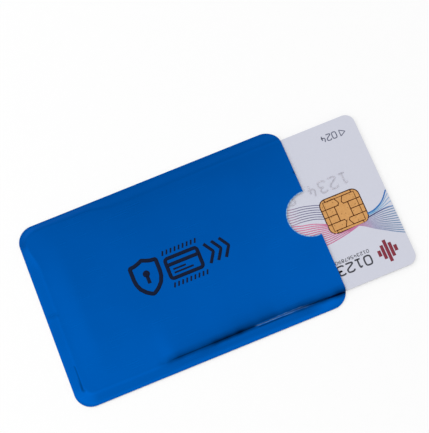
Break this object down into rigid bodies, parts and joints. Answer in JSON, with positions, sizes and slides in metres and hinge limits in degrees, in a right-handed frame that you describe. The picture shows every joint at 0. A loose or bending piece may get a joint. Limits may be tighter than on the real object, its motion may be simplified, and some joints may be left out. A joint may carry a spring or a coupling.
{
  "type": "card holder",
  "caption": "Flat rounded sleeve of blue foil-faced laminate with a thumb notch, holding a chip card that slides out of one short side.",
  "frame": {"origin": "middle of the sleeve's flat back face", "axes": "+X out of the mouth along the card's travel, +Y along the mouth edge, +Z out of the front face"},
  "size_m": [0.115, 0.0624, 0.0019],
  "materials": {
    "foil": "blue lacquer over bright foil",
    "paper": "uncoated board",
    "glue": "dried glue",
    "card_plastic": "satin laminate",
    "card_core": "plain",
    "antenna": "etched foil",
    "magnetic_stripe": "satin",
    "signature_panel": "matt",
    "chip_tape": "glass epoxy",
    "silicon": "polished",
    "resin": "cast resin",
    "gold": "gold plated"
  },
  "bodies": {
    "sleeve": {"front_foil": "foil", "front_liner": "paper", "back_foil": "foil", "back_liner": "paper", "upper_seam_glue": "glue", "lower_seam_glue": "glue", "end_seam_glue": "glue"},
    "card": {"card_front_overlay": "card_plastic", "card_front_print_sheet": "card_plastic", "card_inlay": "card_core", "card_back_print_sheet": "card_plastic", "card_back_overlay": "card_plastic", "antenna_coil": "antenna", "magnetic_stripe": "magnetic_stripe", "signature_panel": "signature_panel", "chip_tape": "chip_tape", "chip_bonding_ring": "glue", "chip_die": "silicon", "chip_potting": "resin", "chip_centre_pad": "gold", "contact_c1_supply": "gold", "contact_c2_reset": "gold", "contact_c3_clock": "gold", "contact_c4_spare": "gold", "contact_c5_ground": "gold", "contact_c6_programming": "gold", "contact_c7_data": "gold", "contact_c8_spare": "gold"}
  },
  "joints": [
    {"name": "card_slide", "type": "slide", "parent": "sleeve", "child": "card", "axis": [1, 0, 0], "range_m": [-0.0256, 0.063]}
  ]
}
